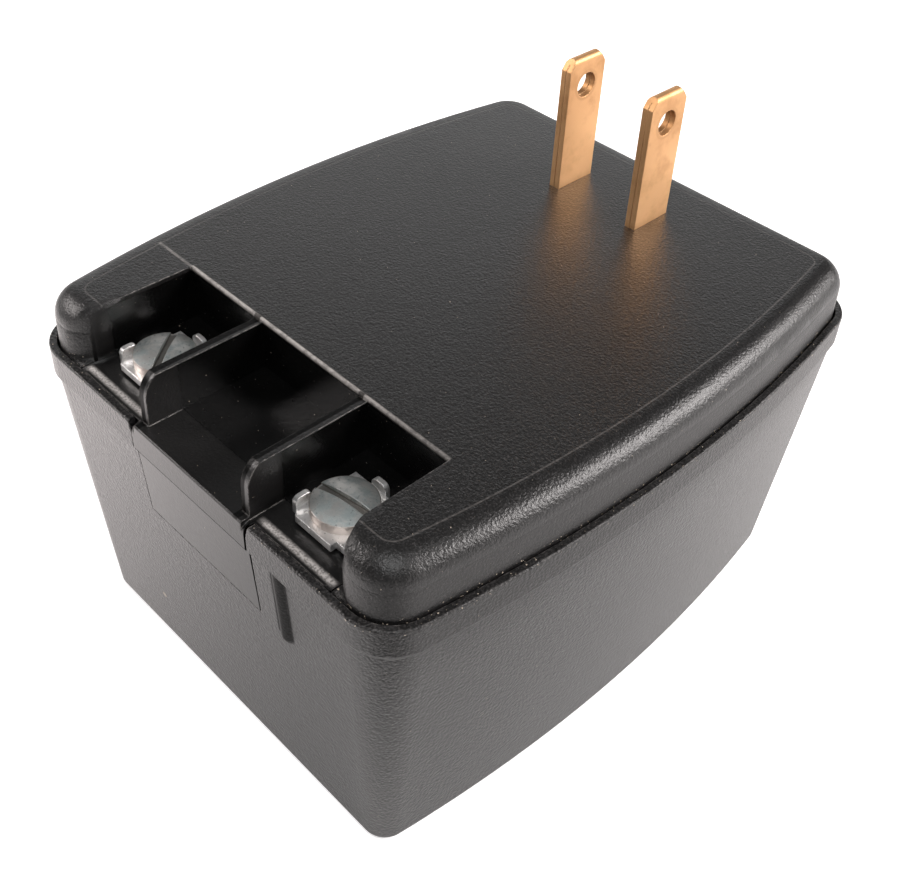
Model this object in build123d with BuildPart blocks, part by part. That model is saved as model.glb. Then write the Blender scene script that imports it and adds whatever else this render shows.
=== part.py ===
from build123d import *
import math
import os

os.makedirs("parts", exist_ok=True)

# Plug-in transformer: a drafted case with a lid that carries the two mains blades and,
# at one end, an open recess with two screw terminals for the low-voltage wires.
# Millimetres. The base stands on z = 0, blades point up, the terminal end is at -Y.

# Case: plan of the base, the same outline grown or shrunk gives every other level
base_width = 54.3
base_length = 73.4
side_bow = 3.2
bow_growth = 0.29
base_corner_radius = 3.0
case_height = 41.5
case_draft = 3.78
case_wall = 2.2
floor_thickness = 2.6
base_edge_radius = 1.2

# Flange round the mouth of the case and the seat that the lid drops into
flange_height = 3.6
flange_projection = 0.45
flange_underside = 0.9
slope_root = 0.2
rim_lip = 0.9
lid_gap = 0.2
lid_seat_depth = 2.5
rim_edge_radius = 0.25

# Stiffening rib on the terminal end
rib_x = 14.4
rib_radius = 1.35
rib_sink = 0.9
rib_length = 10.6

# Lid
lid_rise = 6.7
lid_draft = 1.5
lid_edge_radius = 3.2
lid_wall = 1.9
lid_top = 2.0
lid_inner_radius = 1.2

# Terminal recess and its two barriers
recess_width = 43.0
recess_length = 15.4
recess_wall = 1.5
recess_edge_radius = 0.25
nose_radius = 3.6
nose_top_radius = 5.4
nose_round = 3.4
nose_crease = 0.08
bay_floor_drop = 0.4
bay_floor_thickness = 1.9
lip_radius = 1.0
barrier_thickness = 1.2
barrier_drop = 0.45

# Tab that closes the slot in the case wall under the middle bay; the barriers stand on its shoulders
tab_width = 20.0
tab_length = 13.7
tab_gap = 0.12
tab_shoulder = 0.6
notch_width = 0.4
notch_drop = 1.6

# Mains blades, folded from strip
blade_spacing = 12.7
blade_inset = 12.8
blade_width = 6.35
blade_thickness = 1.5
blade_length = 17.5
blade_strip = 0.72
blade_hole_radius = 1.6
blade_hole_height = 13.7
blade_corner_run = 1.0
blade_corner_drop = 1.4
blade_foot = 2.0
blade_lug_length = 3.8
blade_slot_gap = 0.05

# Keeper plate that holds the blade feet against the lid
keeper_gap = 0.38
keeper_length = 12.0
keeper_thickness = 1.2
stake_radius = 1.2
stake_pitch = 7.0
stake_gap = 0.1
stake_head_radius = 1.9
stake_head_height = 0.8

# Screw terminals
terminal_x = 15.5
terminal_inset = 7.2
plate_width = 6.0
plate_front = 3.3
plate_back = 4.4
plate_thickness = 0.4
tail_width = 3.2
tail_drop = 2.6
tail_gap = 0.05
washer_width = 7.3
washer_length = 8.4
washer_shift = 0.35
washer_thickness = 0.9
washer_hole_radius = 2.0
washer_corner = 0.7
washer_notch_width = 1.2
washer_notch_depth = 0.75
ear_thickness = 0.6
ear_length = 2.1
ear_height = 1.1
side_ear_shift = -2.45
back_ear_shift = 0.2
ear_corner = 0.7
screw_radius = 1.75
screw_length = 6.4
screw_tip_chamfer = 0.4
screw_head_radius = 3.55
screw_head_height = 1.65
screw_head_edge = 1.1
screw_slot_width = 0.9
screw_slot_depth = 0.8
screw_slot_angles = {"left": -52.0, "right": 9.0}
boss_wall = 1.7
boss_floor = 0.9
thread_gap = 0.1
thread_run_out = 0.3

# Laminated core: a scrapless E and I pair, the largest that fits with these rooms round it.
# The leg of the E sets its other plan sizes, the height of the case sets the stack.
core_width_legs = 2.5
core_length_legs = 3.0
window_length_legs = 1.5
core_side_room = 2.3
core_back_room = 9.1
coil_front_gap = 4.8
coil_head_room = 7.6
band_thickness = 0.8
band_inset = 1.0
band_tab = 5.0

# Bobbin and windings
coil_floor_gap = 0.5
leg_gap = 0.2
tube_wall = 0.9
flange_gap = 0.25
bobbin_flange = 1.0
block_depth = 3.6
block_height = 5.0
block_drop = 1.0
winding_margin = 0.8
wrap_thickness = 0.4
winding_gap = 0.1
winding_corner = 5.0
pin_radius = 0.45
pin_depth = 3.0
pin_proud = 0.5
pin_gap = 0.02
primary_pin_y = (8.0, 3.0)
secondary_pin_y = (-9.0, -3.0)

# Posts that hold the core between case and lid
post_width = 4.0
post_length = 3.2
cradle_gap = 0.3
cradle_wall = 1.5
cradle_rise = 4.0
cradle_reach = 6.0

# Thermal fuse and insulated leads
fuse_radius = 1.8
fuse_length = 10.0
fuse_edge = 0.4
lead_radius = 0.7
lead_bend = 1.2
lead_drop = 2.8
lead_detour = 3.4
lead_landing_shift = 0.6
lead_floor_gap = 0.5

# Levels and places that follow from the sizes above
draft_slope = math.tan(math.radians(case_draft))
end_y = base_length / 2
wall_top = case_height - flange_height - flange_underside
wall_grow = wall_top * draft_slope
rim_y = end_y + wall_grow + flange_projection
lid_inset = rim_lip + lid_gap - flange_projection
lid_end = end_y + wall_grow - lid_inset
seat_level = case_height - lid_seat_depth
top_level = case_height + lid_rise
under_lid = top_level - lid_top
lid_front = -lid_end
recess_back = lid_front + recess_length
barrier_x = tab_width / 2 - tab_shoulder - barrier_thickness / 2
bay_floor = case_height - bay_floor_drop
bay_under = bay_floor - bay_floor_thickness
blade_y = lid_end - blade_inset
terminal_y = lid_front + terminal_inset
plate_top = bay_floor + plate_thickness
tail_y = terminal_y + plate_back - plate_thickness / 2
washer_top = plate_top + washer_thickness
band_stack = band_thickness + cradle_gap + cradle_wall
inner_end_y = end_y + floor_thickness * draft_slope - case_wall
core_width_room = base_width - 2 * (case_wall + core_side_room + band_stack)
coil_front = recess_back + recess_wall + coil_front_gap
core_end_limit = inner_end_y - core_back_room - band_stack
leg_by_width = core_width_room / core_width_legs
leg_by_length = (core_end_limit - coil_front + flange_gap) / (core_length_legs - 1 / 2)
core_leg = min(leg_by_width, leg_by_length)
core_half_x = core_leg * core_width_legs / 2
core_half_y = core_leg * core_length_legs / 2
window_half_x = core_leg * window_length_legs / 2
window_depth = core_half_y - core_leg
coil_half_x = window_half_x - flange_gap
coil_half_y = core_leg / 2 + window_depth - flange_gap
coil_half_z = (under_lid - coil_head_room - floor_thickness - coil_floor_gap) / 2
core_stack = 2 * (coil_half_z + flange_gap - window_depth)
core_y = coil_front + coil_half_y
coil_z = floor_thickness + coil_floor_gap + coil_half_z
core_bottom = coil_z - core_stack / 2
core_top = coil_z + core_stack / 2
blade_x = blade_spacing / 2
blade_foot_x = blade_x + blade_thickness / 2 + blade_foot
blade_tip = top_level + blade_length
keeper_top = under_lid - blade_strip
keeper_under = keeper_top - keeper_thickness
screw_tip = washer_top - screw_length
boss_under = screw_tip - thread_run_out - boss_floor
block_top = coil_z + coil_half_z - block_drop
pin_x = coil_half_x + block_depth / 2
pin_top = block_top + pin_proud
wrap_top = coil_z + coil_half_z - winding_margin
section_length = coil_half_x - bobbin_flange - bobbin_flange / 2
section_x = (coil_half_x - bobbin_flange / 2) / 2
fuse_z = wrap_top + fuse_radius
lead_z = under_lid - lead_drop


def outline(grow, inset=0.0):
    """Plan outline with straight ends and bowed sides: the base grown by the draft, then inset."""
    bow = side_bow + bow_growth * grow
    end = end_y + grow
    bow_radius = (end ** 2 + bow ** 2) / (2 * bow)
    bow_centre = base_width / 2 + grow + bow - bow_radius
    bow_radius -= inset
    end -= inset
    corner = bow_centre + math.sqrt(bow_radius ** 2 - end ** 2)
    middle = bow_centre + bow_radius
    with BuildLine() as sides:
        Line((-corner, -end), (corner, -end))
        ThreePointArc((corner, -end), (middle, 0), (corner, end))
        Line((corner, end), (-corner, end))
        ThreePointArc((-corner, end), (-middle, 0), (-corner, -end))
    make_face(sides.edges())
    fillet(vertices(), radius=base_corner_radius + grow - inset)


def centred_box(width, length, low, high, x=0.0, y=0.0, mode=Mode.ADD):
    """Upright block between two levels."""
    with BuildSketch(Plane.XY.offset(low)) as base:
        with Locations((x, y)):
            Rectangle(width, length)
    extrude(base.sketch, amount=high - low, mode=mode)


# Case blank: the drafted body with its flange, used by the case and by the tab
with BuildPart() as case_blank:
    with BuildSketch():
        outline(0)
    with BuildSketch(Plane.XY.offset(case_height)):
        outline(case_height * draft_slope)
    loft(ruled=True)
    fillet(faces().sort_by(Axis.Z)[0].edges(), radius=base_edge_radius)
    with BuildSketch(Plane.XY.offset(wall_top + flange_underside)):
        outline(wall_grow, -flange_projection)
    extrude(amount=flange_height)
    fillet(faces().sort_by(Axis.Z)[-1].edges(), radius=rim_edge_radius)

with BuildPart() as case_hollow:
    with BuildSketch(Plane.XY.offset(floor_thickness)):
        outline(floor_thickness * draft_slope, case_wall)
    with BuildSketch(Plane.XY.offset(case_height)):
        outline(case_height * draft_slope, case_wall)
    loft(ruled=True)

# Flange underside: the slope from the wall out to the flange, left off the tab
with BuildPart() as flange_slope:
    slope_run = flange_underside / flange_projection
    with BuildSketch(Plane.XY.offset(wall_top - slope_root * slope_run)):
        outline(wall_grow, slope_root)
    with BuildSketch(Plane.XY.offset(wall_top + flange_underside)):
        outline(wall_grow, -flange_projection)
    loft(ruled=True)

# Case
with BuildPart() as case:
    add(case_blank.part)
    add(flange_slope.part)
    rib_plane = Plane(
        origin=(rib_x, -(end_y + wall_grow) + rib_sink, wall_top + flange_underside),
        x_dir=(1, 0, 0),
        z_dir=(0, math.sin(math.radians(case_draft)), -math.cos(math.radians(case_draft))),
    )
    with BuildSketch(rib_plane):
        Circle(rib_radius)
    extrude(amount=rib_length)
    add(case_hollow.part, mode=Mode.SUBTRACT)
    with BuildSketch(Plane.XY.offset(seat_level)):
        outline(wall_grow, rim_lip - flange_projection)
    extrude(amount=lid_seat_depth, mode=Mode.SUBTRACT)
    centred_box(
        tab_width + 2 * tab_gap,
        end_y,
        case_height - tab_length - tab_gap,
        case_height,
        y=-rim_y,
        mode=Mode.SUBTRACT,
    )
    slot_edge = tab_width / 2 + tab_gap
    with BuildSketch(Plane.XZ.offset(rim_y)):
        with BuildLine():
            Polyline(
                (-slot_edge - notch_width, case_height),
                (slot_edge + notch_width, case_height),
                (slot_edge, case_height - notch_drop),
                (-slot_edge, case_height - notch_drop),
                close=True,
            )
        make_face()
    extrude(amount=-end_y / 2, mode=Mode.SUBTRACT)
    cradle_x = core_half_x + band_stack
    cradle_y = core_half_y + band_stack
    for side in (-1, 1):
        for end in (-1, 1):
            centred_box(
                cradle_reach,
                cradle_reach,
                floor_thickness,
                core_bottom + cradle_rise,
                x=side * (cradle_x - cradle_reach / 2),
                y=core_y + end * (cradle_y - cradle_reach / 2),
            )
    centred_box(
        2 * (cradle_x - cradle_wall),
        2 * (cradle_y - cradle_wall),
        core_bottom,
        core_bottom + cradle_rise,
        y=core_y,
        mode=Mode.SUBTRACT,
    )
case.part.label = "case"
export_step(case.part, "parts/case.step")

# Tab blank: the piece of case wall that the lid brings with it
with BuildPart() as tab_blank:
    add(case_blank.part)
    add(case_hollow.part, mode=Mode.SUBTRACT)
    centred_box(
        tab_width,
        end_y,
        case_height - tab_length,
        case_height,
        y=-rim_y,
        mode=Mode.INTERSECT,
    )

# Lid blank: the solid outer form of the lid
with BuildPart() as lid_blank:
    with BuildSketch(Plane.XY.offset(seat_level)):
        outline(wall_grow, lid_inset)
    extrude(amount=top_level - seat_level, taper=lid_draft)
    fillet(faces().sort_by(Axis.Z)[-1].edges(), radius=lid_edge_radius)

# Recess block: the solid end of the lid that the three bays are cut into
with BuildPart() as recess_block:
    add(lid_blank.part)
    centred_box(
        recess_width + 2 * recess_wall,
        recess_length + recess_wall,
        bay_under,
        top_level,
        y=lid_front + (recess_length + recess_wall) / 2,
        mode=Mode.INTERSECT,
    )

with BuildPart() as lid_hollow:
    with BuildSketch(Plane.XY.offset(seat_level)):
        outline(wall_grow, lid_inset + lid_wall)
    extrude(amount=under_lid - seat_level, taper=lid_draft)
    fillet(faces().sort_by(Axis.Z)[-1].edges(), radius=lid_inner_radius)

# Space of the right terminal bay
bay_inner_x = barrier_x + barrier_thickness / 2
bay_outer_x = recess_width / 2
mouth_y = lid_front - nose_radius
with BuildPart() as terminal_bay:
    centred_box(
        bay_outer_x - bay_inner_x,
        recess_back - mouth_y,
        bay_floor,
        top_level,
        x=(bay_outer_x + bay_inner_x) / 2,
        y=(recess_back + mouth_y) / 2,
    )


def nose_section(radius):
    """Space outside the rounded nose: an arc from the bay's outer wall to the front of the lid."""
    centre_x = bay_outer_x + radius - nose_crease
    centre_y = lid_front + radius
    start_y = centre_y - math.sqrt(radius ** 2 - (radius - nose_crease) ** 2)
    with BuildLine() as border:
        Polyline(
            (centre_x, lid_front),
            (centre_x, mouth_y),
            (bay_inner_x, mouth_y),
            (bay_inner_x, start_y),
            (bay_outer_x, start_y),
        )
        RadiusArc((bay_outer_x, start_y), (centre_x, lid_front), -radius)
    make_face(border.edges())


# Space round the right nose: the corner of the lid is a blunt finger, fuller below than at its top
with BuildPart() as nose_space:
    nose_middle_radius = (2 * nose_radius + nose_top_radius) / 3
    for level, radius in (
        (bay_floor, nose_radius),
        (top_level - nose_round, nose_radius),
        (top_level - nose_round / 3, nose_middle_radius),
        (top_level, nose_top_radius),
    ):
        with BuildSketch(Plane.XY.offset(level)):
            nose_section(radius)
    loft(ruled=True)

# Cover: lid, recess with its barriers, tab, screw bosses, hold-down posts and blade slots
with BuildPart() as cover:
    add(lid_blank.part)
    add(lid_hollow.part, mode=Mode.SUBTRACT)
    add(recess_block.part)
    add(tab_blank.part)
    terminal_spots = [(side * terminal_x, terminal_y) for side in (-1, 1)]
    with BuildSketch(Plane.XY.offset(boss_under)):
        with Locations(*terminal_spots):
            Circle(screw_radius + thread_gap + boss_wall)
    extrude(amount=bay_under - boss_under)
    for side in (-1, 1):
        post_x = side * (core_half_x - post_width / 2)
        post_y = core_half_y - post_length / 2
        centred_box(post_width, post_length, core_top, bay_under, x=post_x, y=core_y - post_y)
        centred_box(post_width, post_length, core_top, under_lid, x=post_x, y=core_y + post_y)
    stake_spots = [(0, blade_y + side * stake_pitch / 2) for side in (-1, 1)]
    with BuildSketch(Plane.XY.offset(keeper_under)):
        with Locations(*stake_spots):
            Circle(stake_radius)
    extrude(amount=under_lid - keeper_under)
    with BuildSketch(Plane.XY.offset(keeper_under)):
        with Locations(*stake_spots):
            Circle(stake_head_radius)
    extrude(amount=-stake_head_height)
    for space in (terminal_bay.part, nose_space.part):
        add(space, mode=Mode.SUBTRACT)
        add(mirror(space, about=Plane.YZ, mode=Mode.PRIVATE), mode=Mode.SUBTRACT)
    centred_box(
        2 * barrier_x - barrier_thickness,
        recess_length + nose_radius,
        case_height,
        top_level,
        y=recess_back - (recess_length + nose_radius) / 2,
        mode=Mode.SUBTRACT,
    )
    centred_box(
        2 * barrier_x + barrier_thickness,
        recess_length + nose_radius,
        top_level - barrier_drop,
        top_level,
        y=recess_back - (recess_length + nose_radius) / 2,
        mode=Mode.SUBTRACT,
    )
    with BuildSketch(Plane.XY.offset(bay_floor)):
        with Locations(*terminal_spots):
            Circle(screw_radius + thread_gap)
    extrude(amount=-(bay_floor - screw_tip + thread_run_out), mode=Mode.SUBTRACT)
    for side in (-1, 1):
        centred_box(
            tail_width + 2 * tail_gap,
            plate_thickness + 2 * tail_gap,
            bay_under,
            bay_floor,
            x=side * terminal_x,
            y=tail_y,
            mode=Mode.SUBTRACT,
        )
        centred_box(
            blade_thickness + 2 * blade_slot_gap,
            blade_width + 2 * blade_slot_gap,
            under_lid,
            top_level,
            x=side * blade_x,
            y=blade_y,
            mode=Mode.SUBTRACT,
        )
    lip_edges = (
        edges()
        .filter_by(Axis.X)
        .filter_by(lambda edge: abs(edge.center().Z - bay_floor) < tab_gap)
        .sort_by(Axis.Y)[:2]
    )
    fillet(lip_edges, radius=lip_radius)
    recess_edge = (
        edges()
        .filter_by(Axis.X)
        .filter_by(lambda edge: abs(edge.center().Y - recess_back) < tab_gap)
        .sort_by(Axis.Z)[-1]
    )
    fillet(recess_edge, radius=recess_edge_radius)
cover.part.label = "cover"
export_step(cover.part, "parts/cover.step")

# Blades: brass strip folded double at the tip, with feet under the lid and a solder lug outside
for name, side in (("left", -1), ("right", 1)):
    with BuildPart() as blade:
        half = blade_thickness / 2
        seam = half - blade_strip
        profile_plane = Plane(
            (side * blade_x, blade_y + blade_width / 2, 0), x_dir=(1, 0, 0), z_dir=(0, -1, 0)
        )
        with BuildSketch(profile_plane):
            with BuildLine():
                Polyline(
                    (-side * half, blade_tip - half),
                    (-side * half, under_lid),
                    (-side * (half + blade_foot), under_lid),
                    (-side * (half + blade_foot), keeper_top),
                    (-side * seam, keeper_top),
                    (-side * seam, blade_tip - half),
                )
                ThreePointArc(
                    (-side * seam, blade_tip - half),
                    (0, blade_tip - half + seam),
                    (side * seam, blade_tip - half),
                )
                Polyline(
                    (side * seam, blade_tip - half),
                    (side * seam, keeper_top),
                    (side * (half + blade_foot - blade_strip), keeper_top),
                    (side * (half + blade_foot - blade_strip), under_lid - blade_lug_length),
                    (side * (half + blade_foot), under_lid - blade_lug_length),
                    (side * (half + blade_foot), under_lid),
                    (side * half, under_lid),
                    (side * half, blade_tip - half),
                )
                ThreePointArc(
                    (side * half, blade_tip - half),
                    (0, blade_tip),
                    (-side * half, blade_tip - half),
                )
            make_face()
        extrude(amount=blade_width)
        low = under_lid - blade_lug_length
        edge_y = blade_width / 2
        side_plane = Plane(
            (side * blade_x - blade_foot_x, blade_y, 0), x_dir=(0, 1, 0), z_dir=(1, 0, 0)
        )
        with BuildSketch(side_plane):
            with BuildLine():
                Polyline(
                    (-edge_y, low),
                    (-edge_y, blade_tip - blade_corner_drop),
                    (-edge_y + blade_corner_run, blade_tip),
                    (edge_y - blade_corner_run, blade_tip),
                    (edge_y, blade_tip - blade_corner_drop),
                    (edge_y, low),
                    close=True,
                )
            make_face()
            with Locations((0, top_level + blade_hole_height)):
                Circle(blade_hole_radius, mode=Mode.SUBTRACT)
        extrude(amount=2 * blade_foot_x, mode=Mode.INTERSECT)
    blade.part.label = f"blade_{name}"
    export_step(blade.part, f"parts/blade_{name}.step")

# Keeper: fibre plate riveted over the blade feet by the two stakes of the lid
with BuildPart() as blade_keeper:
    keeper_width = 2 * (blade_foot_x - blade_strip - keeper_gap)
    centred_box(keeper_width, keeper_length, keeper_under, keeper_top, y=blade_y)
    with BuildSketch(Plane.XY.offset(keeper_under)):
        with Locations(*stake_spots):
            Circle(stake_radius + stake_gap)
    extrude(amount=keeper_thickness, mode=Mode.SUBTRACT)
blade_keeper.part.label = "blade_keeper"
export_step(blade_keeper.part, "parts/blade_keeper.step")

# Screw terminals: plate with a tail folded down through the bay floor, clamp washer with two
# ears turned up, slotted screw
for name, side in (("left", -1), ("right", 1)):
    spot_x = side * terminal_x
    with BuildPart() as terminal_plate:
        centred_box(
            plate_width,
            plate_front + plate_back,
            bay_floor,
            plate_top,
            x=spot_x,
            y=terminal_y + (plate_back - plate_front) / 2,
        )
        centred_box(tail_width, plate_thickness, bay_under - tail_drop, plate_top, x=spot_x, y=tail_y)
        with BuildSketch(Plane.XY.offset(bay_floor)):
            with Locations((spot_x, terminal_y)):
                Circle(screw_radius + thread_gap)
        extrude(amount=plate_thickness, mode=Mode.SUBTRACT)
    terminal_plate.part.label = f"terminal_plate_{name}"
    export_step(terminal_plate.part, f"parts/terminal_plate_{name}.step")

    with BuildPart() as clamp_washer:
        washer_left = spot_x + washer_shift - washer_width / 2
        washer_right = spot_x + washer_shift + washer_width / 2
        washer_back = terminal_y + washer_length / 2
        washer_front = terminal_y - washer_length / 2
        side_ear_y = terminal_y + side_ear_shift
        back_ear_x = spot_x + back_ear_shift
        ear_top = washer_thickness + ear_height
        with BuildSketch(Plane.XY.offset(plate_top)):
            with Locations((spot_x + washer_shift, terminal_y)):
                Rectangle(washer_width, washer_length)
            chamfer(vertices().group_by(Axis.Y)[0].sort_by(Axis.X)[0], length=washer_corner)
            with Locations((washer_right - washer_notch_width / 2, washer_front + washer_notch_depth / 2)):
                Rectangle(washer_notch_width, washer_notch_depth, mode=Mode.SUBTRACT)
            with Locations((washer_left - ear_thickness / 2, side_ear_y)):
                Rectangle(ear_thickness, ear_length)
            with Locations((back_ear_x, washer_back + ear_thickness / 2)):
                Rectangle(ear_length, ear_thickness)
        extrude(amount=washer_thickness)
        with BuildSketch(Plane.YZ.offset(washer_left - ear_thickness)):
            with Locations((side_ear_y, plate_top + ear_top / 2)):
                Rectangle(ear_length, ear_top)
            fillet(vertices().group_by(Axis.Z)[-1], radius=ear_corner)
        extrude(amount=ear_thickness)
        with BuildSketch(Plane.XZ.offset(-washer_back - ear_thickness)):
            with Locations((back_ear_x, plate_top + ear_top / 2)):
                Rectangle(ear_length, ear_top)
            fillet(vertices().group_by(Axis.Z)[-1], radius=ear_corner)
        extrude(amount=ear_thickness)
        with BuildSketch(Plane.XY.offset(plate_top)):
            with Locations((spot_x, terminal_y)):
                Circle(washer_hole_radius)
        extrude(amount=washer_thickness, mode=Mode.SUBTRACT)
    clamp_washer.part.label = f"clamp_washer_{name}"
    export_step(clamp_washer.part, f"parts/clamp_washer_{name}.step")

    with BuildPart() as terminal_screw:
        slot_plane = Plane((spot_x, terminal_y, washer_top + screw_head_height)).rotated(
            (0, 0, screw_slot_angles[name])
        )
        profile_plane = Plane(
            (spot_x, terminal_y, washer_top), x_dir=slot_plane.y_dir, z_dir=slot_plane.x_dir
        )
        with BuildSketch(profile_plane):
            with BuildLine():
                Polyline(
                    (0, screw_head_height),
                    (0, -screw_length),
                    (screw_radius - screw_tip_chamfer, -screw_length),
                    (screw_radius, -screw_length + screw_tip_chamfer),
                    (screw_radius, 0),
                    (screw_head_radius, 0),
                    (screw_head_radius, screw_head_edge),
                )
                TangentArc((0, screw_head_height), (screw_head_radius, screw_head_edge), tangent=(1, 0))
            make_face()
        revolve(axis=Axis((spot_x, terminal_y, 0), (0, 0, 1)))
        with BuildSketch(slot_plane):
            Rectangle(2 * screw_head_radius + screw_slot_width, screw_slot_width)
        extrude(amount=-screw_slot_depth, mode=Mode.SUBTRACT)
    terminal_screw.part.label = f"terminal_screw_{name}"
    export_step(terminal_screw.part, f"parts/terminal_screw_{name}.step")

# Laminated core: the E stack opens towards -X and the I stack closes it
with BuildPart() as e_core:
    with BuildSketch(Plane.XY.offset(core_bottom)):
        with Locations(((core_half_x - window_half_x) / 2, core_y)):
            Rectangle(core_half_x + window_half_x, 2 * core_half_y)
        window_y = (core_leg + window_depth) / 2
        with Locations((0, core_y - window_y), (0, core_y + window_y)):
            Rectangle(2 * window_half_x, window_depth, mode=Mode.SUBTRACT)
    extrude(amount=core_stack)
e_core.part.label = "e_core"
export_step(e_core.part, "parts/e_core.step")

with BuildPart() as i_core:
    centred_box(
        core_half_x - window_half_x,
        2 * core_half_y,
        core_bottom,
        core_top,
        x=-(core_half_x + window_half_x) / 2,
        y=core_y,
    )
i_core.part.label = "i_core"
export_step(i_core.part, "parts/i_core.step")

# Core band: steel strap that wraps the E stack and folds over the ends of the I stack
with BuildPart() as core_band:
    with BuildSketch(Plane.XY.offset(core_bottom + band_inset)):
        with Locations((0, core_y)):
            Rectangle(2 * (core_half_x + band_thickness), 2 * (core_half_y + band_thickness))
            Rectangle(2 * core_half_x, 2 * core_half_y, mode=Mode.SUBTRACT)
        with Locations((-core_half_x - band_thickness / 2, core_y)):
            Rectangle(band_thickness, 2 * (core_half_y - band_tab), mode=Mode.SUBTRACT)
    extrude(amount=core_stack - 2 * band_inset)
core_band.part.label = "core_band"
export_step(core_band.part, "parts/core_band.step")

# Bobbin: square tube on the centre leg, three flanges and two blocks for the winding pins
tube_half_y = core_leg / 2 + leg_gap + tube_wall
tube_half_z = core_stack / 2 + leg_gap + tube_wall
with BuildPart() as bobbin:
    with BuildSketch(Plane.YZ.offset(-coil_half_x)):
        with Locations((core_y, coil_z)):
            Rectangle(2 * tube_half_y, 2 * tube_half_z)
    extrude(amount=2 * coil_half_x)
    for flange_x in (-coil_half_x, -bobbin_flange / 2, coil_half_x - bobbin_flange):
        with BuildSketch(Plane.YZ.offset(flange_x)):
            with Locations((core_y, coil_z)):
                Rectangle(2 * coil_half_y, 2 * coil_half_z)
        extrude(amount=bobbin_flange)
    for side in (-1, 1):
        centred_box(
            block_depth, 2 * coil_half_y, block_top - block_height, block_top, x=side * pin_x, y=core_y
        )
    with BuildSketch(Plane.YZ.offset(-coil_half_x)):
        with Locations((core_y, coil_z)):
            Rectangle(core_leg + 2 * leg_gap, core_stack + 2 * leg_gap)
    extrude(amount=2 * coil_half_x, mode=Mode.SUBTRACT)
    pin_spots = [(pin_x, core_y + y) for y in primary_pin_y]
    pin_spots += [(-pin_x, core_y + y) for y in secondary_pin_y]
    with BuildSketch(Plane.XY.offset(block_top - pin_depth)):
        with Locations(*pin_spots):
            Circle(pin_radius + pin_gap)
    extrude(amount=pin_depth, mode=Mode.SUBTRACT)
bobbin.part.label = "bobbin"
export_step(bobbin.part, "parts/bobbin.step")

# Winding pins: four tinned pins pressed into the blocks
with BuildPart() as winding_pins:
    with BuildSketch(Plane.XY.offset(block_top - pin_depth)):
        with Locations(*pin_spots):
            Circle(pin_radius)
    extrude(amount=pin_depth + pin_proud)
winding_pins.part.label = "winding_pins"
export_step(winding_pins.part, "parts/winding_pins.step")


def coil_ring(x, length, outer_inset, inner_inset):
    """Ring of one winding section between two insets from the flange edge."""
    with BuildSketch(Plane.YZ.offset(x - length / 2)) as ring:
        with Locations((core_y, coil_z)):
            RectangleRounded(
                2 * (coil_half_y - outer_inset), 2 * (coil_half_z - outer_inset), winding_corner
            )
            if inner_inset is None:
                Rectangle(2 * tube_half_y, 2 * tube_half_z, mode=Mode.SUBTRACT)
            else:
                RectangleRounded(
                    2 * (coil_half_y - inner_inset),
                    2 * (coil_half_z - inner_inset),
                    winding_corner - (inner_inset - outer_inset),
                    mode=Mode.SUBTRACT,
                )
    extrude(ring.sketch, amount=length)


# Windings and the tape wrapped over each
copper_inset = winding_margin + wrap_thickness
for name, side in (("primary", 1), ("secondary", -1)):
    with BuildPart() as winding:
        coil_ring(side * section_x, section_length - 2 * winding_gap, copper_inset, None)
    winding.part.label = f"{name}_winding"
    export_step(winding.part, f"parts/{name}_winding.step")

    with BuildPart() as wrap:
        coil_ring(side * section_x, section_length - 2 * winding_gap, winding_margin, copper_inset)
    wrap.part.label = f"{name}_wrap"
    export_step(wrap.part, f"parts/{name}_wrap.step")

# Thermal fuse: lies on the primary winding, in line with one primary lead
fuse_y = core_y + primary_pin_y[1]
with BuildPart() as thermal_fuse:
    with BuildSketch(Plane.YZ.offset(section_x - fuse_length / 2)):
        with Locations((fuse_y, fuse_z)):
            Circle(fuse_radius)
    extrude(amount=fuse_length)
    fillet(edges().filter_by(GeomType.CIRCLE), radius=fuse_edge)
thermal_fuse.part.label = "thermal_fuse"
export_step(thermal_fuse.part, "parts/thermal_fuse.step")

# Leads: insulated wires between the pins, the fuse, the blade lugs and the terminal tails
fuse_right = section_x + fuse_length / 2
fuse_left = section_x - fuse_length / 2
detour_x = blade_foot_x + lead_detour
near_pin = core_y + secondary_pin_y[0]
far_pin = core_y + secondary_pin_y[1]
landing_x = terminal_x - lead_landing_shift
landing_y = terminal_y + plate_back
landing_z = bay_under - lead_floor_gap - lead_radius
drop_y = coil_front - coil_front_gap / 2
lead_routes = {
    "primary_lead_right": [
        (pin_x, core_y + primary_pin_y[0], pin_top),
        (pin_x, core_y + primary_pin_y[0], lead_z),
        (max(pin_x, detour_x), blade_y, lead_z),
        (blade_foot_x, blade_y, lead_z),
    ],
    "primary_lead_fused": [
        (pin_x, fuse_y, pin_top),
        (pin_x, fuse_y, fuse_z),
        (fuse_right, fuse_y, fuse_z),
    ],
    "primary_lead_left": [
        (fuse_left, fuse_y, fuse_z),
        (-detour_x, fuse_y, fuse_z),
        (-detour_x, blade_y, lead_z),
        (-blade_foot_x, blade_y, lead_z),
    ],
    "secondary_lead_left": [
        (-pin_x, near_pin, pin_top),
        (-pin_x, near_pin, lead_z),
        (-landing_x, drop_y, lead_z),
        (-landing_x, drop_y, landing_z),
        (-landing_x, landing_y, landing_z),
    ],
    "secondary_lead_right": [
        (-pin_x, far_pin, pin_top),
        (-pin_x, far_pin, lead_z),
        (landing_x, far_pin, lead_z),
        (landing_x, drop_y, lead_z),
        (landing_x, drop_y, landing_z),
        (landing_x, landing_y, landing_z),
    ],
}
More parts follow.
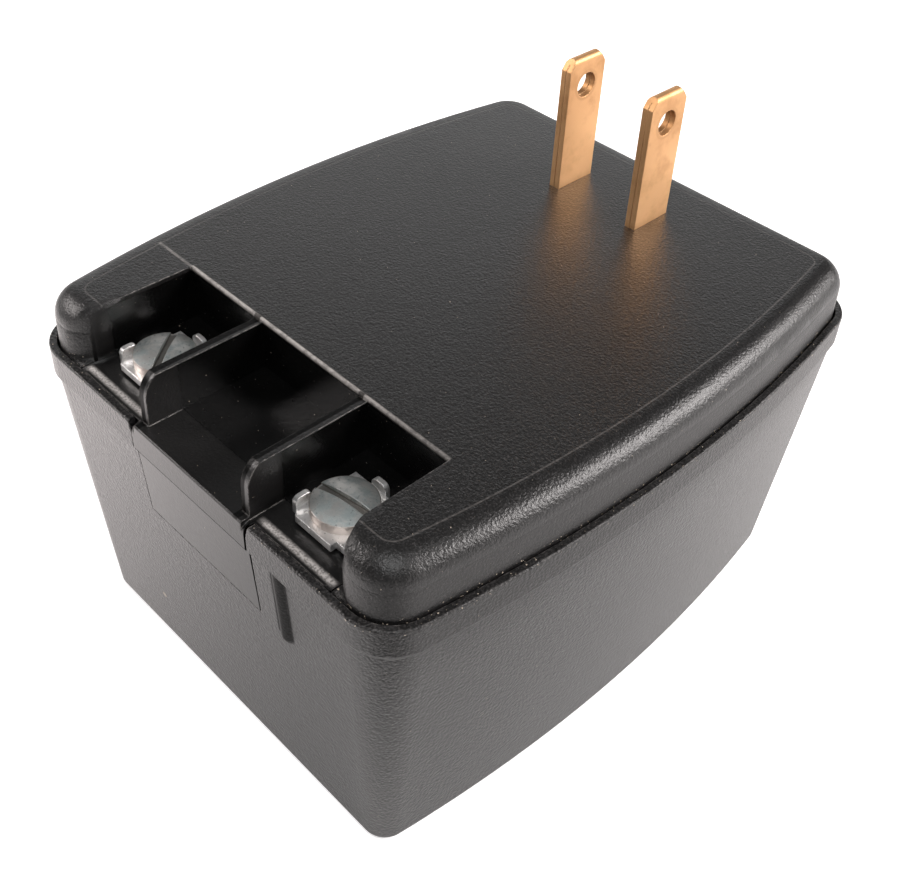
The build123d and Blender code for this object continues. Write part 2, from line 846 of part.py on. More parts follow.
for name, route in lead_routes.items():
    with BuildPart() as lead:
        with BuildLine() as path:
            FilletPolyline(*route, radius=lead_bend)
        with BuildSketch(Plane(origin=path.line @ 0, z_dir=path.line % 0)):
            Circle(lead_radius)
        sweep(path=path.line)
    lead.part.label = name
    export_step(lead.part, f"parts/{name}.step")
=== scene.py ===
import math

import bmesh
import bpy
from mathutils import Matrix, Vector

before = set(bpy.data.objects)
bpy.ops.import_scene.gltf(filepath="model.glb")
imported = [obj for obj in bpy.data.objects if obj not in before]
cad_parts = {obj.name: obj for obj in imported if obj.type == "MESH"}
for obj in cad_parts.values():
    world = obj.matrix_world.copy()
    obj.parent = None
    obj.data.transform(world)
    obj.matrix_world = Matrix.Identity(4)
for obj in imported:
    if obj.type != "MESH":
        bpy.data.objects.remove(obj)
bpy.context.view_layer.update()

# Camera: a hand-held compact camera close above the terminal end, looking down on the top.
# Its place, turn and lens were worked out from corners of the transformer in the photograph.
scene = bpy.context.scene
scene.view_settings.view_transform = "Standard"
image_width = 900
image_height = 874
camera_place = Vector((0.081124, -0.085071, 0.130323))
camera_right = Vector((0.69927816, 0.71318983, 0.04868596))
camera_up = Vector((-0.48370961, 0.4219277, 0.7668129))
focal_pixels = 1224.449
centre_pixel = Vector((464.806, 377.383))
sensor_width = 36.0
nearest_seen = 0.005

camera_data = bpy.data.cameras.new("camera")
camera_data.sensor_width = sensor_width
camera_data.lens = sensor_width * focal_pixels / image_width
camera_data.shift_x = (image_width / 2 - centre_pixel.x) / image_width
camera_data.shift_y = (centre_pixel.y - image_height / 2) / image_width
camera_data.clip_start = nearest_seen
camera = bpy.data.objects.new("camera", camera_data)
camera_back = camera_right.cross(camera_up)
camera_turn = Matrix((camera_right, camera_up, camera_back)).transposed().to_4x4()
camera.matrix_world = Matrix.Translation(camera_place) @ camera_turn
scene.collection.objects.link(camera)
scene.camera = camera


# Table: a white laminate top, seen as plain white. Its glow, seen only in reflections, is a painted
# reflection that gets brighter away from the near corner of the case, as on a table lit from both sides,
# and a painted shadow makes it dark in one spot in front of that corner.
class Value:
    """A shader socket with arithmetic: an expression on values adds its Math nodes."""

    def __init__(self, tree, socket):
        self.tree = tree
        self.socket = socket

    def node(self, kind, inputs, output=0, **settings):
        """New node of a kind: its settings first, then the values or links of its sockets."""
        made = self.tree.nodes.new(kind)
        for name, setting in settings.items():
            setattr(made, name, setting)
        for name, value in inputs.items():
            if isinstance(value, Value):
                self.tree.links.new(value.socket, made.inputs[name])
            else:
                made.inputs[name].default_value = value
        return Value(self.tree, made.outputs[output])

    def math(self, operation, *others):
        inputs = dict(enumerate((self,) + others))
        return self.node("ShaderNodeMath", inputs, operation=operation)

    def __add__(self, other):
        return self.math("ADD", other)

    __radd__ = __add__

    def __sub__(self, other):
        return self.math("SUBTRACT", other)

    def __rsub__(self, other):
        return self.math("MULTIPLY_ADD", -1.0, other)

    def __mul__(self, other):
        return self.math("MULTIPLY", other)

    __rmul__ = __mul__

    def __truediv__(self, other):
        return self.math("DIVIDE", other)

    def __abs__(self):
        return self.math("ABSOLUTE")

    def capped(self):
        """The value, or 1 where it is more than that."""
        return self.math("MINIMUM", 1.0)

    def ramp(self, low, high):
        """0 at low, 1 at high and smooth between; low may be the greater of the two."""
        inputs = {"Value": self, "From Min": low, "From Max": high}
        return self.node("ShaderNodeMapRange", inputs, interpolation_type="SMOOTHSTEP")

    def mixed(self, low, high):
        """Colour between two colours, with this value as the factor."""
        return self.node("ShaderNodeMix", {0: self, 6: low, 7: high}, output=2, data_type="RGBA")


def new_material(name, **uniform):
    """Material with uniform values on its shader; returns it, the shader, the point and its axes."""
    material = bpy.data.materials.new(name)
    material.use_nodes = True
    tree = material.node_tree
    shader = tree.nodes["Principled BSDF"]
    for socket, value in uniform.items():
        shader.inputs[socket.replace("_", " ")].default_value = value
    point = Value(tree, tree.nodes.new("ShaderNodeTexCoord").outputs["Object"])
    axes = [point.node("ShaderNodeSeparateXYZ", {0: point}, output=index) for index in range(3)]
    return material, shader, point, axes


def feed(shader, **values):
    """Links values to sockets of a shader."""
    for socket, value in values.items():
        value.tree.links.new(value.socket, shader.inputs[socket.replace("_", " ")])


def distance_to(axes, spot):
    """Distance in a plane from a spot, both given by two coordinates."""
    across = axes[0] - spot[0]
    along = axes[1] - spot[1]
    return (across * across + along * along).math("SQRT")


table_size = 4.0
table_colour = (0.93, 0.93, 0.93, 1.0)
white = (1.0, 1.0, 1.0, 1.0)
seen_glow = 0.42
far_table = (0.25, 0.9)
mirrored_glow = 1.35
mirrored_tint = (1.0, 0.905, 0.89, 1.0)
near_corner = (0.042, -0.042)
glow_rise = (0.010, 0.13)
glow_fall = (0.195, 0.145)
left_side = (0.03, -0.06)
left_glow = 1.54
right_glow = 0.46
shaded_spot = (0.068, -0.078)
shaded_reach = (0.048, 0.018)
shaded_colour = (0.08, 0.08, 0.08, 1.0)

table_mesh = bpy.data.meshes.new("table")
builder = bmesh.new()
bmesh.ops.create_grid(builder, x_segments=1, y_segments=1, size=table_size / 2)
builder.to_mesh(table_mesh)
builder.free()
table = bpy.data.objects.new("table", table_mesh)
scene.collection.objects.link(table)

laminate, laminate_shader, point, axes = new_material(
    "white_laminate", Base_Color=table_colour, Roughness=0.9, Emission_Strength=1.0
)
seen = point.node("ShaderNodeLightPath", {}, output="Is Camera Ray")
mirrored = point.node("ShaderNodeLightPath", {}, output="Is Glossy Ray")
passed = point.node("ShaderNodeLightPath", {}, output="Is Transmission Ray")
leftward = axes[0].ramp(*left_side) * (left_glow - right_glow) + right_glow
from_corner = distance_to(axes, near_corner)
ring = from_corner.ramp(*glow_rise) * from_corner.ramp(*glow_fall)
mirrored_light = ring * leftward * mirrored_glow
whiter = from_corner.ramp(*far_table) * (1.0 - seen_glow) + seen_glow
glow = (seen + passed).capped() * whiter + mirrored * mirrored_light
glow_tint = mirrored.mixed(white, mirrored_tint)
glow_colour = glow_tint.node("ShaderNodeVectorMath", {0: glow_tint, 3: glow}, operation="SCALE")
# painted shadow: a dark spot on the table, seen only in reflections
shade = distance_to(axes, shaded_spot).ramp(*shaded_reach) * mirrored
feed(laminate_shader, Emission_Color=glow_colour)
feed(laminate_shader, Base_Color=shade.mixed(table_colour, shaded_colour))
table_mesh.materials.append(laminate)

# Room: white to the camera, dim to the object, with a ceiling lamp and three windows. The one
# behind to the right draws the long highlight on the lid, the one in front lights the terminals.
room_light = 0.055
world = bpy.data.worlds.new("world")
scene.world = world
world.use_nodes = True
sky = world.node_tree.nodes["Background"]
sky.inputs["Color"].default_value = white
sky_path = world.node_tree.nodes.new("ShaderNodeLightPath")
seen_directly = Value(world.node_tree, sky_path.outputs["Is Camera Ray"])
feed(sky, Strength=seen_directly * (1.0 - room_light) + room_light)

aim = Vector((0.0, 0.0, 0.03))
lights = {
    "ceiling": {
        "place": Vector((0.25, -0.25, 0.80)),
        "size": (0.50, 0.50),
        "watts": 4.0,
        "tint": (1.0, 1.0, 1.0),
    },
    "front_left": {
        "place": Vector((-0.65, -0.45, 0.50)),
        "size": (0.30, 0.30),
        "watts": 4.8,
        "tint": (1.0, 0.94, 0.92),
    },
    "back_right": {
        "place": Vector((0.62, 0.55, 0.45)),
        "size": (0.62, 0.30),
        "watts": 12.0,
        "tint": (1.0, 0.955, 0.94),
    },
    "back_left": {
        "place": Vector((-0.66, 0.58, 0.38)),
        "size": (1.10, 0.30),
        "watts": 2.0,
        "tint": (1.0, 1.0, 1.0),
    },
}
for light_name, light in lights.items():
    light_data = bpy.data.lights.new(light_name, "AREA")
    light_data.shape = "RECTANGLE"
    light_data.size, light_data.size_y = light["size"]
    light_data.energy = light["watts"]
    light_data.color = light["tint"]
    lamp = bpy.data.objects.new(light_name, light_data)
    facing = (light["place"] - aim).to_track_quat("Z", "Y").to_matrix().to_4x4()
    lamp.matrix_world = Matrix.Translation(light["place"]) @ facing
    scene.collection.objects.link(lamp)


# Coil former: one-piece bobbin moulded in natural nylon, with a tube over the centre leg of the
# core. Its blocks hold four tinned pins, pressed in, that the winding ends are soldered to.
def noise(point, size, detail=2.0, roughness=0.5):
    """Soft random value from 0 to 1 whose spots are about this size."""
    inputs = {"Vector": point, "Scale": 1.0 / size, "Detail": detail, "Roughness": roughness}
    return point.node("ShaderNodeTexNoise", inputs)


def bump(height, depth, normal=None):
    """Normal of a surface whose relief runs from 0 to this depth."""
    inputs = {"Height": height, "Distance": depth}
    if normal is not None:
        inputs["Normal"] = normal
    return height.node("ShaderNodeBump", inputs)


def dress(names, material):
    """Gives CAD nodes their material."""
    for name in names:
        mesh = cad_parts[name].data
        mesh.materials.clear()
        mesh.materials.append(material)


def mottled(name, low, high, patch, polish, grain, depth, **uniform):
    """Material that drifts between two colours and two roughness values, with a fine grain."""
    middle_tones = (0.3, 0.7)
    material, shader, point, axes = new_material(name, **uniform)
    drift = noise(point, patch, detail=3.0).ramp(*middle_tones)
    finish = noise(point, patch / 2, detail=3.0).ramp(*middle_tones)
    feed(shader, Base_Color=drift.mixed(low, high))
    feed(shader, Roughness=finish * (polish[1] - polish[0]) + polish[0])
    feed(shader, Normal=bump(noise(point, grain), depth))
    return material


natural_nylon = mottled(
    "natural_nylon",
    low=(0.70, 0.66, 0.54, 1.0),
    high=(0.76, 0.73, 0.63, 1.0),
    patch=0.004,
    polish=(0.42, 0.55),
    grain=0.0003,
    depth=0.000006,
)
dress(["bobbin"], natural_nylon)
tinned_pin = mottled(
    "tinned_pin",
    low=(0.62, 0.62, 0.60, 1.0),
    high=(0.74, 0.74, 0.72, 1.0),
    patch=0.001,
    polish=(0.25, 0.45),
    grain=0.0001,
    depth=0.000004,
    Metallic=1.0,
)
dress(["winding_pins"], tinned_pin)

# Windings: enamelled copper wire in layers, the fine mains winding beside the thicker low-voltage
# one. Each is closed with turns of yellow polyester tape, glued down by its own adhesive.
wire_pitch = {"primary": 0.00018, "secondary": 0.00055}
wire_round = 0.25
enamel_shaded = (0.26, 0.06, 0.02, 1.0)
enamel_lit = (0.50, 0.16, 0.05, 1.0)
enamel_polish = (0.25, 0.45)
enamel_patch = 0.002
for side, pitch in wire_pitch.items():
    enamel, enamel_shader, point, axes = new_material(f"enamelled_copper_{side}", Metallic=0.75)
    # Painted shade and highlight: the enamel is coloured darker between the turns and lighter on their
    # crowns.
    ridge = (axes[0] * (math.tau / pitch)).math("SINE") * 0.5 + 0.5
    sheen = noise(point, enamel_patch) * (enamel_polish[1] - enamel_polish[0]) + enamel_polish[0]
    feed(enamel_shader, Base_Color=ridge.mixed(enamel_shaded, enamel_lit))
    feed(enamel_shader, Roughness=sheen, Normal=bump(ridge, pitch * wire_round))
    dress([f"{side}_winding"], enamel)

tape_pitch = 0.0046
tape_edge = 0.00025
tape_thickness = 0.00005
tape_stretch = 0.3
tape_deep_yellow = (0.72, 0.44, 0.035, 1.0)
tape_light_yellow = (0.82, 0.56, 0.07, 1.0)
tape_patch = 0.006
tape_tones = (0.35, 0.65)
tape_polish = (0.18, 0.43)
smear_size = 0.0015
yellow_tape, tape_shader, point, axes = new_material("yellow_tape")
lap = (axes[0] / tape_pitch).math("FRACT") * tape_pitch
lap_edge = lap.ramp(0.0, tape_edge)
tape_tone = noise(point, tape_patch).ramp(*tape_tones)
smears = noise(point, smear_size) * (tape_polish[1] - tape_polish[0]) + tape_polish[0]
feed(tape_shader, Base_Color=tape_tone.mixed(tape_deep_yellow, tape_light_yellow))
feed(tape_shader, Roughness=smears)
feed(tape_shader, Normal=bump(lap_edge + tape_tone * tape_stretch, tape_thickness))
dress(["primary_wrap", "secondary_wrap"], yellow_tape)

# Core: E-shaped and I-shaped stacks of half-millimetre silicon steel sheet, dipped in varnish.
# The E stack goes through the bobbin, the I stack closes it.
sheet_thickness = 0.0005
sheet_middle = 0.5
sheet_gap_share = 0.12
sheet_gap_depth = 0.00004
steel_varnished = (0.10, 0.10, 0.11, 1.0)
steel_gap = (0.015, 0.012, 0.010, 1.0)
varnish_patch = 0.005
varnish_polish = (0.25, 0.65)
varnished, varnished_shader, point, axes = new_material("varnished_lamination", Metallic=0.7)
from_middle = abs((axes[2] / sheet_thickness).math("FRACT") - sheet_middle)
sheet_face = from_middle.ramp(sheet_middle, sheet_middle - sheet_gap_share)
runs = noise(point, varnish_patch, detail=4.0) * (varnish_polish[1] - varnish_polish[0]) + varnish_polish[0]
feed(varnished_shader, Base_Color=sheet_face.mixed(steel_gap, steel_varnished))
feed(varnished_shader, Roughness=runs, Normal=bump(sheet_face, sheet_gap_depth))
dress(["e_core", "i_core"], varnished)

# Core band: a strap of zinc-plated steel pressed round both stacks and folded over at the ends.
# It keeps the joint between them closed.
band_zinc = mottled(
    "band_zinc",
    low=(0.42, 0.43, 0.44, 1.0),
    high=(0.56, 0.56, 0.55, 1.0),
    patch=0.003,
    polish=(0.30, 0.48),
    grain=0.0002,
    depth=0.000005,
    Metallic=1.0,
)
dress(["core_band"], band_zinc)

# Thermal fuse and leads: a fuse in a tinned brass can on the mains winding, and stranded wires
# in PVC, black on the mains side and red to the terminals, soldered at both ends.
fuse_can = mottled(
    "fuse_can",
    low=(0.60, 0.58, 0.52, 1.0),
    high=(0.72, 0.71, 0.67, 1.0),
    patch=0.002,
    polish=(0.28, 0.42),
    grain=0.0002,
    depth=0.000005,
    Metallic=1.0,
)
dress(["thermal_fuse"], fuse_can)
lead_colours = {
    "black": ((0.010, 0.010, 0.010, 1.0), (0.020, 0.020, 0.020, 1.0)),
    "red": ((0.30, 0.012, 0.008, 1.0), (0.40, 0.025, 0.015, 1.0)),
}
lead_names = {
    "black": ["primary_lead_right", "primary_lead_fused", "primary_lead_left"],
    "red": ["secondary_lead_left", "secondary_lead_right"],
}
for colour, (low, high) in lead_colours.items():
    sleeve = mottled(
        f"{colour}_pvc", low, high, patch=0.002, polish=(0.38, 0.52), grain=0.0003, depth=0.00001
    )
    dress(lead_names[colour], sleeve)


# Case: deep drafted shell moulded in black phenylene oxide, with a sandy spark-eroded finish on
# its walls. The lid is welded into the seat inside its rim.
def edge_wear(point, reach):
    """1 on edges and 0 on flat faces, and the normal with edges eased by this radius."""
    flat_agreement = 0.995
    edge_agreement = 0.90
    eased = point.node("ShaderNodeBevel", {"Radius": reach}, samples=4)
    plain = point.node("ShaderNodeNewGeometry", {}, output="Normal")
    pair = {0: eased, 1: plain}
    agreement = point.node("ShaderNodeVectorMath", pair, output="Value", operation="DOT_PRODUCT")
    return agreement.ramp(flat_agreement, edge_agreement), eased


def band(value, low, high, soft):
    """1 between two levels of a value, with edges this soft."""
    return value.ramp(low - soft, low + soft) * value.ramp(high + soft, high - soft)


def specks(point, size, share):
    """Sparse sharp spots of dust: the peaks of a noise above this share."""
    speck_edge = 0.02
    return noise(point, size, detail=1.0).ramp(share, share + speck_edge)


def lay_painted_shade(material, share, colour):
    """Lays a matt colour over a material's shader as painted shade, where a value says how much; returns
    it.
    """
    shader = share.tree.nodes["Principled BSDF"]
    matt = share.node("ShaderNodeBsdfDiffuse", {"Color": colour})
    surface = Value(share.tree, shader.outputs["BSDF"])
    both = share.node("ShaderNodeMixShader", {0: share, 1: surface, 2: matt})
    share.tree.links.new(both.socket, share.tree.nodes["Material Output"].inputs["Surface"])
    return material


mould_black = (0.0055, 0.0052, 0.0052, 1.0)
mould_grain = (0.034, 0.032, 0.032, 1.0)
mould_worn = (0.20, 0.185, 0.175, 1.0)
polish_size = 0.0006
polish_swing = 0.06
case_polish = 0.33
sand_size = 0.00036
sand_depth = 0.000120
sand_lump_size = 0.0008
sand_lump_depth = 0.000007
spark_size = 0.00018
spark_share = (0.42, 0.68)
edge_reach = 0.00022
scuff_size = 0.0009
scuff_share = (0.45, 0.62)

dust_pale = (0.55, 0.47, 0.38, 1.0)
dust_dullness = 0.3
dust_size = 0.00024
dust_share = 0.80
rim_dust_size = 0.00028
rim_dust_share = 0.735
rim_dust_height = (0.0409, 0.0419)
rim_dust_soft = 0.0002
nick_place = (-0.0131, 0.0090)
nick_reach = (0.0005, 0.00025)
nick_side = (0.0, -0.03)
nick_strength = 0.6

flange_fade = (0.0300, 0.0405)
flange_side = (0.0270, 0.0320)
flange_shade_strength = 0.18
rib_width = (0.0131, 0.0157)
rib_side_soft = 0.0002
rib_height = (0.0275, 0.0379)
rib_end_soft = 0.0003
rib_shade_strength = 0.72
rib_glint = (0.0137, 0.0142)
rib_glint_soft = 0.0003
rib_glint_share = 0.35
terminal_wall = (-0.0365, -0.0375)

case_plastic, case_shader, point, axes = new_material("sanded_black_moulding", Specular_IOR_Level=0.5)
across, along, height = axes
worn, eased = edge_wear(point, edge_reach)
sand = noise(point, sand_size, detail=1.5)
lumps = noise(point, sand_lump_size)
scuffed = worn * noise(point, scuff_size, detail=3.0).ramp(*scuff_share)
sparked = noise(point, spark_size, detail=1.0).ramp(*spark_share)
rim_dust = specks(point, rim_dust_size, rim_dust_share) * band(height, *rim_dust_height, rim_dust_soft)
wall_dust = specks(point, dust_size, dust_share)
nick = distance_to((across, height), nick_place).ramp(*nick_reach) * along.ramp(*nick_side)
dusty = (rim_dust + wall_dust + nick * nick_strength).capped()
case_colour = scuffed.mixed(sparked.mixed(mould_black, mould_grain), mould_worn)
polish = noise(point, polish_size) * polish_swing + case_polish
feed(case_shader, Base_Color=dusty.mixed(case_colour, dust_pale))
feed(case_shader, Roughness=polish + dusty * dust_dullness)
feed(case_shader, Normal=bump(sand, sand_depth, bump(lumps, sand_lump_depth, eased)))

# Painted shade: the flange is darkened towards the rim on the right side, and the rib on the terminal wall
# is darkened, with a lighter painted glint down its middle.
flange_shade = height.ramp(*flange_fade) * across.ramp(*flange_side) * flange_shade_strength
rib = band(across, *rib_width, rib_side_soft) * band(height, *rib_height, rib_end_soft)
glint = band(across, *rib_glint, rib_glint_soft) * rib_glint_share
rib_shade = rib * along.ramp(*terminal_wall) * (rib_shade_strength - glint)
dress(["case"], lay_painted_shade(case_plastic, (flange_shade + rib_shade).capped(), mould_black))


# Cover: the lid with its bowed sides, the open recess with two barriers and the tab that closes
# the slot in the case, all one moulding in the same black plastic, finely grained on top.
def turned(share, plain, other):
    """Normal that goes from the plain one to the other with this share."""
    inputs = {0: share, 4: plain, 5: other}
    return share.node("ShaderNodeMix", inputs, output=1, data_type="VECTOR")


shadow_black = (0.0015, 0.0015, 0.0015, 1.0)
lid_polish = 0.32
lid_grain_size = 0.00032
lid_grain_depth = 0.000075
lid_spark_share = (0.50, 0.72)
lid_spark_strength = 0.7
bay_smoothness = 0.7
bay_gloss = 0.09

lid_level = 0.0482
top_face = (lid_level - 0.0004, lid_level - 0.0001)
top_edge = (lid_level - 0.0005, lid_level - 0.0003)
below_top = (lid_level - 0.0004, lid_level - 0.0007)
recess_far = -0.0231
recess_far_wall = (recess_far + 0.0004, recess_far + 0.0002)
recess_half = 0.0215
recess_end_wall = (recess_half + 0.0004, recess_half + 0.0002)
lip_front = -0.0385
barrier_fronts = (lip_front + 0.0045, lip_front + 0.0040)
nose_ends = (recess_half - 0.0008, recess_half - 0.0004)
nose_fronts = (lip_front + 0.0065, lip_front + 0.0055)
nose_round = 0.0014
lean_top = 0.0452
lean_height = 0.0042
lean_slope = 0.24

fleck_size = 0.0006
fleck_share = (0.38, 0.58)
line_pale = (0.36, 0.335, 0.315, 1.0)
line_soft = 0.0001
far_line_along = (recess_far - 0.00015, recess_far + 0.00030)
far_line_fade = (0.0200, 0.0020)
far_line_least = 0.4
nose_line_along = (recess_far - 0.00015, recess_far + 0.00020)
nose_line_across = (-0.0280, -recess_half)
nose_line_strength = 0.38
line_least = 0.6
panel_bow_radius = 0.19356
panel_bow_centre = (-0.16445, 0.0)
panel_end = 0.03480
panel_corner = 0.0014
panel_line = (panel_corner - 0.00009, panel_corner + 0.00009)
panel_line_soft = 0.00006
panel_line_least = 0.16
panel_line_swing = 0.12

lip_highlight_colour = (0.52, 0.49, 0.47, 1.0)
lip_along = (lip_front + 0.0006, lip_front + 0.00125)
lip_along_soft = 0.00028
lip_across = (0.0101, 0.0214)
lip_across_soft = 0.0004
lip_top = (0.0413, 0.04115)
lip_bottom = (0.0399, 0.0402)
lip_grain_size = 0.0002
lip_grain_share = (0.32, 0.62)
lip_grain_least = 0.4
lip_dullness = 0.2
foot_dust_size = 0.0003
foot_dust_share = 0.70
foot_dust_height = (0.0410, 0.0419)
foot_dust_soft = 0.0002
bay_dust_size = 0.00026
bay_dust_share = 0.83

lid_plastic, lid_shader, point, axes = new_material("grained_black_moulding", Specular_IOR_Level=0.5)
across, along, height = axes
from_middle = abs(across)
worn, eased = edge_wear(point, edge_reach)
recess = along.ramp(*recess_far_wall) * from_middle.ramp(*recess_end_wall)
bays = recess * height.ramp(*below_top)
deep = bays * (1.0 - along.ramp(*barrier_fronts))
noses = from_middle.ramp(*nose_ends) * along.ramp(*nose_fronts)
on_top = height.ramp(*top_face)

plain = point.node("ShaderNodeNewGeometry", {}, output="Normal")
rounder = point.node("ShaderNodeBevel", {"Radius": nose_round}, samples=4)
shaped = turned(noses, turned(1.0 - deep, plain, eased), rounder)
lean = ((lean_top - height) / lean_height).math("MAXIMUM", 0.0) * (1.0 - recess)
leaning = bump(lean, lean_height * lean_slope, shaped)
grain = noise(point, lid_grain_size, roughness=0.6) * (1.0 - bays * bay_smoothness)
feed(lid_shader, Normal=bump(grain, lid_grain_depth, leaning))

panel_side = distance_to((from_middle, along), panel_bow_centre) - (panel_bow_radius - panel_corner)
panel_side = panel_side.math("MAXIMUM", 0.0)
panel_front = (abs(along) - (panel_end - panel_corner)).math("MAXIMUM", 0.0)
panel_reach = (panel_side * panel_side + panel_front * panel_front).math("SQRT")
flecks = noise(point, fleck_size, detail=4.0).ramp(*fleck_share)
panel_strength = flecks * panel_line_swing + panel_line_least
panel_edge = band(panel_reach, *panel_line, panel_line_soft) * on_top * panel_strength
edge_line = (worn * (1.0 - deep) * (1.0 - noses) * flecks + panel_edge).capped()
far_line = band(along, *far_line_along, line_soft) * band(across, -recess_half, recess_half, line_soft)
far_line = far_line * height.ramp(*top_edge)
far_line = far_line * (across.ramp(*far_line_fade) * (1.0 - far_line_least) + far_line_least)
nose_line = band(along, *nose_line_along, line_soft) * band(across, *nose_line_across, line_soft)
pale_line = (far_line + nose_line * on_top * nose_line_strength).capped()
pale_line = pale_line * (flecks * (1.0 - line_least) + line_least)

# Painted highlight: a pale grainy strip along the rounded lip at the front of the bays.
lip = band(along, *lip_along, lip_along_soft) * band(from_middle, *lip_across, lip_across_soft)
lip = lip * height.ramp(*lip_top) * height.ramp(*lip_bottom)
lip_grain = noise(point, lip_grain_size).ramp(*lip_grain_share)
lip_highlight = lip * (lip_grain * (1.0 - lip_grain_least) + lip_grain_least)
foot_dust = specks(point, foot_dust_size, foot_dust_share) * (1.0 - recess)
foot_dust = foot_dust * band(height, *foot_dust_height, foot_dust_soft)
bay_dust = specks(point, bay_dust_size, bay_dust_share) * bays
dusty = (foot_dust + bay_dust + specks(point, dust_size, dust_share)).capped()
sparked = noise(point, spark_size, detail=1.0).ramp(*lid_spark_share) * (1.0 - bays) * lid_spark_strength
lid_colour = edge_line.mixed(sparked.mixed(mould_black, mould_grain), mould_worn)
lid_colour = lip_highlight.mixed(deep.mixed(lid_colour, shadow_black), lip_highlight_colour)
lid_colour = pale_line.mixed(lid_colour, line_pale)
polish = noise(point, polish_size) * polish_swing + lid_polish
feed(lid_shader, Base_Color=dusty.mixed(lid_colour, dust_pale))
feed(lid_shader, Roughness=polish + dusty * dust_dullness + lip_highlight * lip_dullness - deep * bay_gloss)

step_line_level = (0.03781, 0.03799)
step_line_soft = 0.00005
step_line_half = 0.0098
step_line_wall = (-0.0370, -0.0380)
gap_foot = 0.0277
gap_height = (gap_foot, 0.0411)
gap_draft = 0.014
gap_inner = (0.00988, 0.00998)
gap_outer = (0.0110, 0.0105)
barrier_left_shade = (-0.0096, -0.0086)
barrier_right_shade = (0.0080, 0.0088)
barrier_foot = (0.0412, 0.0416)
barrier_shade_strength = 0.75

# Painted shade: a dark line under the step across the tab, dark lines in the gaps beside the tab and the
# barriers in the recess darkened, all laid on in shadow_black.
step_shadow_line = band(height, *step_line_level, step_line_soft) * along.ramp(*step_line_wall)
step_shadow_line = step_shadow_line * band(across, -step_line_half, step_line_half, line_soft)
gap_side = (across + (height - gap_foot) * gap_draft).ramp(*gap_inner) * across.ramp(*gap_outer)
gap_shadow_line = gap_side * band(height, *gap_height, line_soft) * along.ramp(*terminal_wall)
barrier_left = band(across, *barrier_left_shade, line_soft)
barrier_right = band(across, *barrier_right_shade, line_soft)
barrier_shade = (barrier_left + barrier_right) * recess * height.ramp(*barrier_foot) * barrier_shade_strength
painted_shade_lines = (step_shadow_line + gap_shadow_line + barrier_shade).capped()
dress(["cover"], lay_painted_shade(lid_plastic, painted_shade_lines, shadow_black))

# Mains blades: brass strip folded double at the tip, punched with the standard hole and pushed up
# through slots in the lid. Handling has left fine scratches and a brown tarnish.
brass_bright = (0.87, 0.515, 0.255, 1.0)
brass_tarnish_and_shade = (0.51, 0.275, 0.12, 1.0)
brass_polish = 0.42
brass_edge_reach = 0.00018
rubbed_share = 0.6
scratch_stretch = (9000.0, 9000.0, 500.0)
scratch_depth = 0.000006
scratch_dullness = 0.10
stain_size = 0.0035
stain_share = (0.42, 0.72)
stain_strength = 0.35
stain_dullness = 0.08
blade_hole = (0.0257, 0.0619)
hole_ring = (0.0022, 0.0016)
hole_strength = 0.6
foot_fade = (lid_level + 0.0012, lid_level)
foot_strength = 0.3
tip_shade_fade = (0.0500, 0.0610)
tip_shade_strength = 0.75

brass, brass_shader, point, axes = new_material("brass", Metallic=0.80)
across, along, height = axes
worn, eased = edge_wear(point, brass_edge_reach)
stretch = {0: point, 1: scratch_stretch}
stretched = point.node("ShaderNodeVectorMath", stretch, operation="MULTIPLY")
scratches = noise(stretched, 1.0, detail=3.0)
stain = noise(point, stain_size, detail=5.0, roughness=0.6).ramp(*stain_share)
at_hole = distance_to((along, height), blade_hole).ramp(*hole_ring) * hole_strength
at_foot = height.ramp(*foot_fade) * foot_strength
# Painted shade: the blade is coloured darker towards the tip, on top of the real tarnish.
tip_shade = height.ramp(*tip_shade_fade) * tip_shade_strength
tarnish_and_shade = (stain * stain_strength + at_foot + tip_shade + at_hole).capped()
tarnish_and_shade = tarnish_and_shade * (1.0 - worn * rubbed_share)
feed(brass_shader, Base_Color=tarnish_and_shade.mixed(brass_bright, brass_tarnish_and_shade))
feed(brass_shader, Roughness=stain * stain_dullness + scratches * scratch_dullness + brass_polish)
feed(brass_shader, Normal=bump(scratches, scratch_depth, eased))
dress(["blade_left", "blade_right"], brass)

# Blade keeper: plate of vulcanised fibre riveted over the blade feet inside the lid by two stakes.
# It stops the blades from being pushed in.
vulcanised_fibre = mottled(
    "vulcanised_fibre",
    low=(0.20, 0.045, 0.030, 1.0),
    high=(0.26, 0.065, 0.045, 1.0),
    patch=0.002,
    polish=(0.6, 0.75),
    grain=0.0002,
    depth=0.00001,
)
dress(["blade_keeper"], vulcanised_fibre)

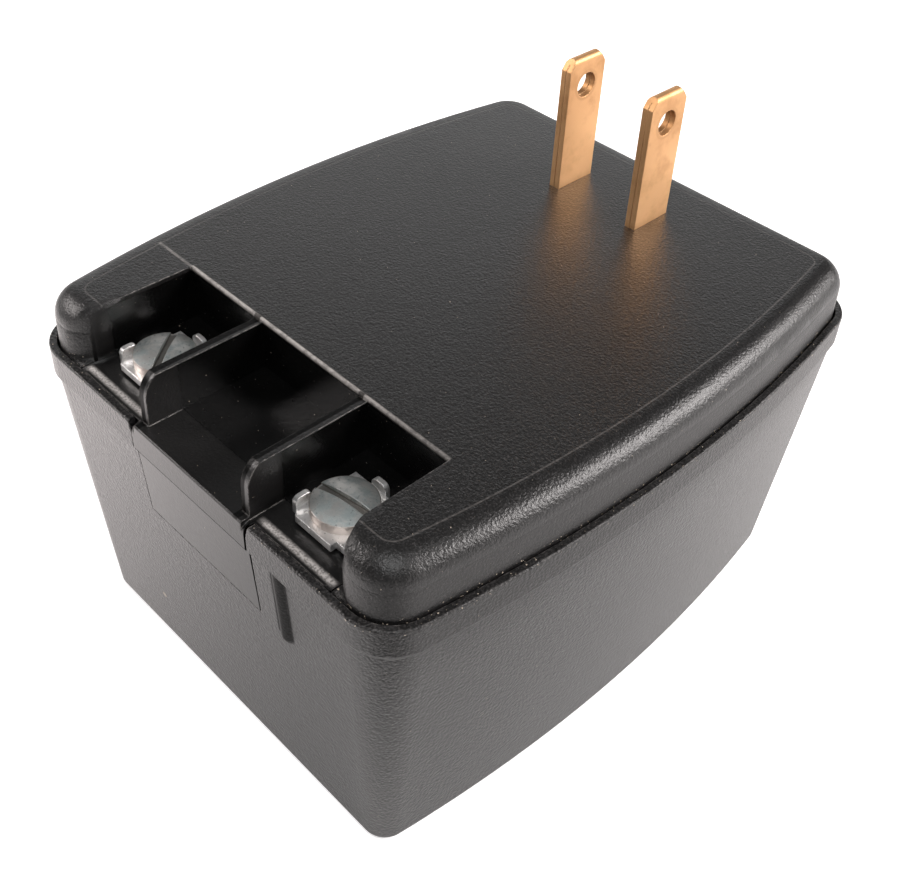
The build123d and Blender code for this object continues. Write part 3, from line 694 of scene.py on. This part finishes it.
# Screw terminals: a plate with its tail through the bay floor, a clamp washer with two ears turned
# up and a slotted screw, all of zinc-plated steel, blunt and grey with age.
zinc_edge_reach = 0.00016
zinc_age_share = (0.38, 0.66)
zinc_age_dullness = 0.12
zinc_grain_size = 0.0003
zinc_grain_depth = 0.00001
pit_size = 0.00035
pit_share = (0.62, 0.72)
pit_colour = (0.16, 0.16, 0.155, 1.0)
pit_strength = 0.6
pit_dullness = 0.2
screw_place = (0.0155, -0.031295)
screw_slot_top = (0.04356, 0.04348)
screw_slot_half = 0.0034
screw_slot_soft = 0.00008
slot_dirt_and_shade = (0.24, 0.23, 0.215, 1.0)
head_side_colour = (0.50, 0.42, 0.38, 1.0)
head_side_strength = 0.8


def aged_zinc(name, fresh, aged, metal, polish, patch, slotted=False):
    """Zinc plating between a fresh and an aged tone, bright where edges are rubbed."""
    material, shader, point, axes = new_material(name, Metallic=metal)
    across, along, height = axes
    worn, eased = edge_wear(point, zinc_edge_reach)
    age = noise(point, patch, detail=4.0, roughness=0.6).ramp(*zinc_age_share) * (1.0 - worn)
    pits = noise(point, pit_size, detail=3.0).ramp(*pit_share)
    surface = (pits * pit_strength).mixed(age.mixed(fresh, aged), pit_colour)
    if slotted:
        from_axis = distance_to((abs(across), along), screw_place)
        below_dome = height.ramp(*screw_slot_top)
        head_side = below_dome * from_axis.ramp(screw_slot_half, screw_slot_half + screw_slot_soft)
        # Painted shade and dirt: the slot is coloured a darker grey.
        in_slot = below_dome * from_axis.ramp(screw_slot_half, screw_slot_half - screw_slot_soft)
        surface = (head_side * head_side_strength).mixed(surface, head_side_colour)
        surface = in_slot.mixed(surface, slot_dirt_and_shade)
    grain = noise(point, zinc_grain_size, detail=3.0)
    feed(shader, Base_Color=surface)
    feed(shader, Roughness=age * zinc_age_dullness + pits * pit_dullness + polish)
    feed(shader, Normal=bump(grain, zinc_grain_depth, eased))
    return material


terminal_zinc = {
    "terminal_plate": aged_zinc(
        "plate_zinc",
        fresh=(0.74, 0.74, 0.73, 1.0),
        aged=(0.40, 0.43, 0.42, 1.0),
        metal=0.8,
        polish=0.34,
        patch=0.002,
    ),
    "clamp_washer": aged_zinc(
        "washer_zinc",
        fresh=(0.92, 0.91, 0.90, 1.0),
        aged=(0.60, 0.60, 0.59, 1.0),
        metal=0.8,
        polish=0.30,
        patch=0.003,
    ),
    "terminal_screw": aged_zinc(
        "screw_zinc",
        fresh=(0.72, 0.73, 0.71, 1.0),
        aged=(0.42, 0.475, 0.475, 1.0),
        metal=0.9,
        polish=0.37,
        patch=0.0014,
        slotted=True,
    ),
}
for piece, zinc in terminal_zinc.items():
    dress([f"{piece}_left", f"{piece}_right"], zinc)
